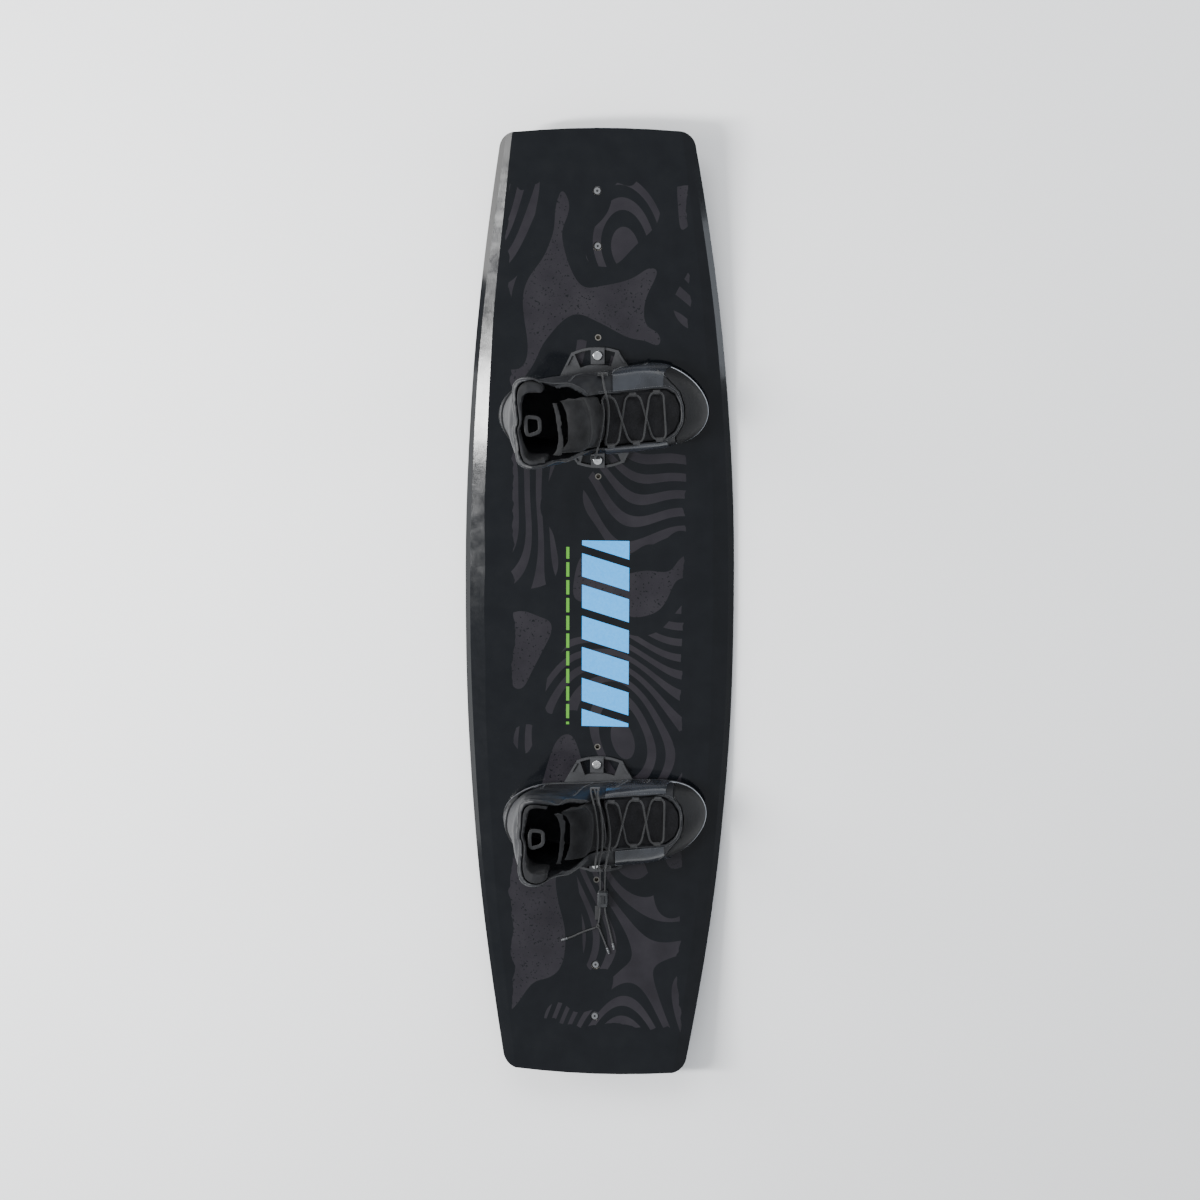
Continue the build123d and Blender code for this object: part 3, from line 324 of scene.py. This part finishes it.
NODE_FINISH = {
    "deck_shell": "deck", "base_shell": "base", "foam_core": "core", "inserts": "insert", "fin_nose": "fin",
    "fin_tail": "fin", "fin_washers": "nylon", "fin_screws": "lock", "toothed_washers": "nylon", "binding_screws": "steel",
    "shell": "upper", "toe_cap": "toe", "mesh_tongue": "mesh", "tongue_foot": "pad", "tongue_pad": "pad", "collar_rim": "rim",
    "side_panels": "gloss", "heel_counter": "heel", "midsole": "foam", "boot_screws": "steel", "footbed": "bed", "chassis": "nylon",
    "lace_loops": "webbing", "lace": "lace", "eyelets": "webbing", "heel_loop": "webbing", "tail_a": "lace", "tail_b": "lace",
    "tail_tips": "lock", "lace_knot": "lace", "lace_tips": "lock", "lace_lock": "lock", "lock_button": "nylon", "lock_strap": "webbing",
}
for name, o in NODES.items():
    key = name.split("_", 1)[1] if name.startswith(("left_", "right_")) else name
    m = MAT[NODE_FINISH[key]]
    for i in range(len(o.data.materials)):
        o.data.materials[i] = m
    if not len(o.data.materials):
        o.data.materials.append(m)


def dress(o, finish):
    o.data.materials.clear()
    o.data.materials.append(MAT[finish])
    if o.type == "MESH":
        for p in o.data.polygons:
            p.use_smooth = True
    return o


def bake(o):
    bpy.context.view_layer.update()
    me = bpy.data.meshes.new_from_object(o.evaluated_get(bpy.context.evaluated_depsgraph_get()))
    o.modifiers.clear()
    o.data = me


# ------------------------------------------------------------------ soft pieces
def relax(o, steps):
    if steps:
        s = o.modifiers.new("smooth", "SMOOTH")
        s.iterations, s.factor = steps, 0.5
        bake(o)


def inflate(o, pressure, cap, frames=20):
    """Blow the closed form up as padded fabric, and keep every point within cap of where it was."""
    before = [v.co.copy() for v in o.data.vertices]
    c = o.modifiers.new("cloth", "CLOTH")
    c.settings.use_pressure = True
    c.settings.uniform_pressure_force = pressure
    c.settings.effector_weights.gravity = 0
    c.settings.tension_stiffness = c.settings.compression_stiffness = 25
    c.settings.bending_stiffness = 2
    c.point_cache.frame_start, c.point_cache.frame_end = 1, frames
    scene = bpy.context.scene
    for f in range(1, frames + 1):
        scene.frame_set(f)
    bake(o)
    scene.frame_set(1)
    for v, b in zip(o.data.vertices, before):
        d = v.co - b
        if d.length > cap:
            v.co = b + d * (cap / d.length)


def soft(name, nodes, body, finish, voxel, smooth=6, shrink=0.0, pressure=0.0, cap=0.0015, wrinkle=0.0, wavelength=0.02, shape=None, sub=True, ride=True):
    bm = bmesh.new()
    for n in nodes:
        bm.from_mesh(NODES[n].data)
    bmesh.ops.remove_doubles(bm, verts=bm.verts, dist=1e-6)
    me = bpy.data.meshes.new(name)
    bm.to_mesh(me)
    bm.free()
    o = link(name, me)
    if shape:
        for v in me.vertices:
            v.co = shape(v.co)
    r = o.modifiers.new("remesh", "REMESH")
    r.mode, r.voxel_size, r.adaptivity = "VOXEL", voxel, 0.0
    bake(o)
    relax(o, smooth)
    if shrink:
        normals = [v.normal.copy() for v in o.data.vertices]
        for v, n in zip(o.data.vertices, normals):
            v.co = v.co - n * shrink
    if pressure:
        inflate(o, pressure, cap)
        relax(o, 2)
    if wrinkle:
        normals = [v.normal.copy() for v in o.data.vertices]
        for v, n in zip(o.data.vertices, normals):
            w = noise.fractal(v.co / wavelength, 1.0, 2.0, 3)
            v.co = v.co - n * wrinkle * (0.5 + 0.5 * max(-1, min(1, w * 1.6)))
    if sub:
        s = o.modifiers.new("sub", "SUBSURF")
        s.levels = s.render_levels = 1
        bake(o)
    dress(o, finish)
    if ride:
        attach(o, body)
    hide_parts(*nodes)
    return o


def tube(name, lines, radius, finish, body, closed=False, flat=1.0):
    """Round cord-like trim along lines of points, as one mesh."""
    bm = bmesh.new()
    for line in lines:
        rings = []
        for i, p in enumerate(line):
            a = line[(i - 1) % len(line)] if closed else line[max(i - 1, 0)]
            b = line[(i + 1) % len(line)] if closed else line[min(i + 1, len(line) - 1)]
            t = (b - a).normalized()
            side = t.cross(Vector((0, 0, 1)))
            side = side.normalized() if side.length > 1e-6 else Vector((1, 0, 0))
            up = side.cross(t)
            rings.append([bm.verts.new(p + (side * math.cos(k * math.pi / 4) + up * math.sin(k * math.pi / 4) * flat) * radius) for k in range(8)])
        n = len(rings)
        for i in range(n if closed else n - 1):
            r0, r1 = rings[i], rings[(i + 1) % n]
            for k in range(8):
                bm.faces.new((r0[k], r0[(k + 1) % 8], r1[(k + 1) % 8], r1[k]))
        if not closed:
            bm.faces.new(rings[0])
            bm.faces.new(rings[-1][::-1])
    bmesh.ops.recalc_face_normals(bm, faces=bm.faces)
    me = bpy.data.meshes.new(name)
    bm.to_mesh(me)
    bm.free()
    o = link(name, me)
    dress(o, finish)
    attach(o, body)
    return o


def ribbon(name, points, across, width, thick, finish, body, closed=False):
    """A flat strap along points. across is the strap's width direction."""
    bm = bmesh.new()
    rings = []
    prof = [(-0.5, -0.25), (-0.46, -0.5), (0.46, -0.5), (0.5, -0.25), (0.5, 0.25), (0.46, 0.5), (-0.46, 0.5), (-0.5, 0.25)]
    for i, p in enumerate(points):
        a = points[(i - 1) % len(points)] if closed else points[max(i - 1, 0)]
        b = points[(i + 1) % len(points)] if closed else points[min(i + 1, len(points) - 1)]
        t = (b - a).normalized()
        w = (across - t * across.dot(t)).normalized()
        n = t.cross(w)
        rings.append([bm.verts.new(p + w * u * width + n * v * thick) for u, v in prof])
    m = len(rings)
    for i in range(m if closed else m - 1):
        r0, r1 = rings[i], rings[(i + 1) % m]
        for k in range(8):
            bm.faces.new((r0[k], r0[(k + 1) % 8], r1[(k + 1) % 8], r1[k]))
    if not closed:
        bm.faces.new(rings[0])
        bm.faces.new(rings[-1][::-1])
    bmesh.ops.recalc_face_normals(bm, faces=bm.faces)
    me = bpy.data.meshes.new(name)
    bm.to_mesh(me)
    bm.free()
    o = link(name, me)
    dress(o, finish)
    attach(o, body)
    return o


def dense(path, step=2.0):
    out = []
    for a, b in zip(path, path[1:]):
        a, b = Vector(a), Vector(b)
        n = max(1, int((b - a).length / step))
        out += [a.lerp(b, i / n) for i in range(n)]
    out.append(Vector(path[-1]))
    for _ in range(3):
        out = [out[0]] + [(p + q * 2 + r) / 4 for p, q, r in zip(out, out[1:], out[2:])] + [out[-1]]
    return out


def smooth_line(pts, n=2):
    for _ in range(n):
        pts = [pts[0]] + [(p + q * 2 + r) / 4 for p, q, r in zip(pts, pts[1:], pts[2:])] + [pts[-1]]
    return pts


THROAT = [(-75,32),(-30,33),(12,30),(50,29),(88,30),(104,29),(116,20),(122,6),(123,-6),(121,-18),(113,-32),(100,-40),(88,-43),(50,-44),(12,-44),(-30,-42),(-75,-40)]
TOE_LINE = [(92,56),(111,38),(124,22),(129,2),(129,-10),(126,-24),(114,-40),(114,-52)]
CUFF = [(-104,191),(-78,199),(-58,196),(-40,180),(-22,156),(-8,138),(18,134)]


def boot(foot):
    B, TB = foot + "_boot", foot + "_tongue"
    N = lambda n: f"{foot}_{n}"
    out = place(foot, (0, 1, 0), True).normalized()
    up = place(foot, (0, 0, 1), True).normalized()
    shell = soft(N("upper"), [N("shell")], B, "upper", 0.0019, smooth=4, wrinkle=0.0007, wavelength=0.022, sub=False)
    toe = soft(N("toe_box"), [N("toe_cap")], B, "toe", 0.0016, smooth=5, shrink=-0.0002, wrinkle=0.0003, wavelength=0.03)
    mesh = soft(N("net"), [N("mesh_tongue")], B, "mesh", 0.0013, smooth=4, wrinkle=0.0004, wavelength=0.012)
    soft(N("insole"), [N("footbed")], B, "bed", 0.0022, smooth=5, wrinkle=0.0006, wavelength=0.05)
    collar = soft(N("collar"), [N("collar_rim")], B, "rim", 0.0018, smooth=4, shrink=0.0003, pressure=4.0, cap=0.0009, wrinkle=0.0003, wavelength=0.012)
    soft(N("loops"), [N("lace_loops")], B, "webbing", 0.00045, smooth=3, sub=False)

    cut = place(foot, (-2, 0, 147))
    foot_mesh = {tuple(round(c, 6) for c in v.co) for v in NODES[N("tongue_foot")].data.vertices}

    def reach(p):
        h = (p - cut).dot(up)
        if h > 0.0008 and tuple(round(c, 6) for c in p) in foot_mesh:
            return p + up * 0.0045
        return p

    # The right boot's tongue takes the darker copy of the pad material: painted shade.
    pad = soft(N("tongue"), [N("tongue_foot"), N("tongue_pad")], B, "pad" if foot == "left" else "pad_painted_shade", 0.0017, smooth=3,
               shrink=0.0002, pressure=3.0, cap=0.0009, wrinkle=0.0004, wavelength=0.01, shape=reach, ride=False)
    tuple(place(foot, (-2, 0, 144)))
    tuple(place(foot, (-2, 0, 157)))
    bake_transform(pad)

    # Trim lies on the surfaces it is sewn to.
    bm = bmesh.new()
    for o in (shell, toe, NODES[N("side_panels")], NODES[N("heel_counter")]):
        bm.from_mesh(o.data)
    bvh = BVHTree.FromBMesh(bm)
    bm.free()

    def down(x, y, lift=0.0, low=40):
        hit = bvh.ray_cast(place(foot, (x, y, 260)), -up)
        if hit[0] is None:
            return None
        return hit[0] + hit[1] * lift * (1 if hit[1].dot(up) > 0 else -1)

    def across(x, z, s, lift=0.0):
        hit = bvh.ray_cast(place(foot, (x, s * 160, z)), -out * s)
        if hit[0] is None or (hit[0] - place(foot, (x, 0, z))).dot(out) * s < 0.012:
            return None
        return hit[0] + out * s * lift

    def front(ang, z, lift=0.0):
        c = (70, 0)
        d = Vector((math.cos(ang), math.sin(ang)))
        o3 = place(foot, (c[0] + d.x * 150, d.y * 150, z))
        dv = place(foot, (d.x, d.y, 0), True).normalized()
        hit = bvh.ray_cast(o3, -dv)
        return None if hit[0] is None else hit[0] + dv * lift

    rand = smooth_line([p for p in (front(math.radians(a), 19.5, 0.0003) for a in range(-118, 119, 3)) if p], 3)
    tube(N("rand_line"), [rand], 0.0011, "piping", B)
    seam = smooth_line([p for p in (down(q.x, q.y, 0.0001) for q in dense([Vector((*p, 0)) for p in TOE_LINE], 2.0)) if p], 3)
    tube(N("toe_seam"), [seam], 0.0010, "dark_piping", B)
    edge = [p for p in (down(q.x + (1.6 if q.x > 100 else 0), q.y + (2.4 if q.y > 0 else -2.4), -0.0001) for q in dense([Vector((*p, 0)) for p in THROAT[2:-2]], 2.0)) if p]
    edge = smooth_line(edge, 2)
    if len(edge) > 8:
        tube(N("throat_binding"), [edge], 0.0010, "dark_piping", B)
    cuff = []
    for s in (1, -1):
        line = [p for p in (across(q.x, q.z - 3.2, s, 0.0001) for q in dense([Vector((x, 0, z)) for x, z in CUFF], 3.0)) if p]
        if len(line) > 6:
            cuff.append(smooth_line(line, 2))
    tube(N("cuff_binding"), cuff, 0.0010, "dark_piping", B)
    stitches, seams = [], []
    rows = [[(40, 20), (41, 44), (36, 66), (26, 88)], [(72, 18), (74, 34), (70, 50)], [(-12, 16), (-16, 60), (-22, 100), (-30, 140)], [(-83, 18), (-84, 50), (-80, 84)]]
    for s in (1, -1):
        for row in rows:
            line = [p for p in (across(q.x, q.z, s, 0.0002) for q in dense([Vector((x, 0, z)) for x, z in row], 1.0)) if p]
            if len(line) < 8:
                continue
            seams.append(smooth_line(line, 2)[::2])
            for shift in (2.2, 3.6):
                run = [p for p in (across(q.x + shift, q.z, s, 0.00025) for q in dense([Vector((x, 0, z)) for x, z in row], 1.0)) if p]
                stitches += [[run[i], run[i + 1], run[i + 2]] for i in range(0, len(run) - 3, 3)]
    for lift_y in (4.6,):
        run = [p for p in (down(q.x + (3 if q.x > 104 else 0), q.y + (lift_y if q.y > 0 else -lift_y), 0.0002) for q in dense([Vector((*p, 0)) for p in THROAT[2:-2]], 1.0)) if p]
        stitches += [[run[i], run[i + 1], run[i + 2]] for i in range(0, len(run) - 3, 3) if (run[i + 2] - run[i]).length < 0.006]
    tube(N("panel_seams"), seams, 0.00055, "dark_piping", B)
    tube(N("stitching"), stitches, 0.00032, "thread", B)

    # Pull loop inside the back of the collar, a flat strap sewn down at both ends.
    xa = place(foot, (0.889, 0, -0.457), True).normalized()
    mid = place(foot, (-74.5, 0, 185))
    pts = []
    for k in range(40):
        a = 2 * math.pi * k / 40
        cx, cy = math.cos(a), math.sin(a)
        r = (abs(cx) ** 4 + abs(cy) ** 4) ** -0.25
        pts.append(mid + xa * (10.2 * r * cx * 0.001) + out * (11.6 * r * cy * 0.001 * (1.0 - 0.18 * cx)))
    nrm = xa.cross(out)
    bm_pts = pts
    flatloop = ribbon(N("pull_loop"), bm_pts, nrm, 0.0018, 0.0050, "webbing", foot + "_pull", closed=True)
    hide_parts(N("heel_loop"))

    lace, length = nurbs(N("lace_run"), foot, LACE_ROUTE, 0.0014)
    dress(lace, "lace")
    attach(lace, B)
    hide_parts(N("lace"))
    tuple(place(foot, LACE_ROUTE[0]))
    return bvh


for f in ("left", "right"):
    boot(f)

# ------------------------------------------------------------------ free ends of the right boot's lace
B = "right_boot"
t = [2 * math.pi * k / 72 for k in range(72)]
kn = []
for a in t:
    x, y, z = math.sin(a) + 2 * math.sin(2 * a), math.cos(a) - 2 * math.cos(2 * a), -math.sin(3 * a)
    kn.append(place("right", (-0.5 + x * 0.86, 172.2 + y * 0.98, 4.5 + z * 1.75)))
knot = tube("right_knot", [kn], 0.0014, "lace", B, closed=True)
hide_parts("right_lace_knot")
for name, route, node, far in (
    ("right_tail_1", TAIL_A, "right_tail_a", "knot"),
    ("right_tail_2", TAIL_B, "right_tail_b", "fitting"),
    ("right_tail_3", END_A, "right_tail_tips", "fitting"),
    ("right_tail_4", END_C, "right_tail_tips", "fitting"),
):
    o, length = nurbs(name, "right", route, 0.0014)
    dress(o, "lace")
    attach(o, B)
    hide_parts(node)
    end = knot
    if far == "fitting":
        # A hard tip crimped on the lace's end, with two rings and a rounded nose.
        p, q = place("right", route[-1]), place("right", route[-2])
        d = (p - q).normalized()
        side = d.cross(Vector((0, 0, 1))).normalized()
        top = side.cross(d)
        prof = [(-0.0012, 0.00135), (-0.0012, 0.0017), (0.0, 0.0019), (0.0009, 0.0019), (0.0012, 0.00165), (0.0017, 0.00165), (0.0020, 0.0019), (0.0064, 0.0019), (0.0067, 0.00165), (0.0072, 0.00165), (0.0075, 0.00188), (0.0084, 0.0016), (0.0089, 0.0009), (0.0090, 0.0002)]
        bm = bmesh.new()
        rings = [[bm.verts.new(p + d * u + (side * math.cos(k * math.pi / 12) + top * math.sin(k * math.pi / 12)) * w) for k in range(24)] for u, w in prof]
        for r0, r1 in zip(rings, rings[1:]):
            for k in range(24):
                bm.faces.new((r0[k], r0[(k + 1) % 24], r1[(k + 1) % 24], r1[k]))
        bm.faces.new(rings[0])
        bm.faces.new(rings[-1][::-1])
        bmesh.ops.recalc_face_normals(bm, faces=bm.faces)
        me = bpy.data.meshes.new(name + "_tip")
        bm.to_mesh(me)
        bm.free()
        end = link(name + "_tip", me)
        dress(end, "lock")
        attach(end, B)
        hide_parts("right_lace_tips")
    tuple(place("right", route[0]))
soft("right_lock_webbing", ["right_lock_strap"], "lace_lock", "webbing", 0.0005, smooth=3, sub=False)

# ------------------------------------------------------------------ floor and light
lo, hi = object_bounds()
floor = link("floor", bpy.data.meshes.new("floor"))
fb = bmesh.new()
bmesh.ops.create_grid(fb, x_segments=4, y_segments=4, size=14)
fb.to_mesh(floor.data)
fb.free()
floor.location.z = cad_box[0][2] - 0.0004
floor.data.materials.append(F("floor_pale", (0.93, 0.935, 0.94), (0.96, 0.965, 0.97), 0.8, "smooth", 0.02, patch=1.0, spec=0.2))


def lamp(name, pos, aim, size, power, colour):
    d = bpy.data.lights.new(name, "AREA")
    d.shape, d.size, d.size_y, d.energy, d.color = "RECTANGLE", size[0], size[1], power, colour
    o = link(name, d)
    o.location = pos
    o.rotation_euler = (Vector(aim) - Vector(pos)).to_track_quat("-Z", "Y").to_euler()


lamp("left_box", (-2.6, 0.6, 1.6), (0, 0.1, 0), (0.9, 1.6), 48, (1.0, 0.99, 0.97))
lamp("rail_strip", (-2.05, -0.02, 2.4), (-0.15, 0.25, 0), (0.24, 1.35), 125, (1.0, 1.0, 1.0))
lamp("right_box", (2.9, 0.5, 1.2), (0, 0, 0), (0.7, 1.6), 17, (0.86, 0.92, 1.0))
lamp("top_box", (-0.3, 2.6, 3.0), (0, 0, 0), (2.6, 1.4), 70, (1.0, 1.0, 1.0))
world = bpy.data.worlds.new("studio")
world.use_nodes = True
world.node_tree.nodes["Background"].inputs[0].default_value = (0.93, 0.96, 1.0, 1)
world.node_tree.nodes["Background"].inputs[1].default_value = 0.72
bpy.context.scene.world = world
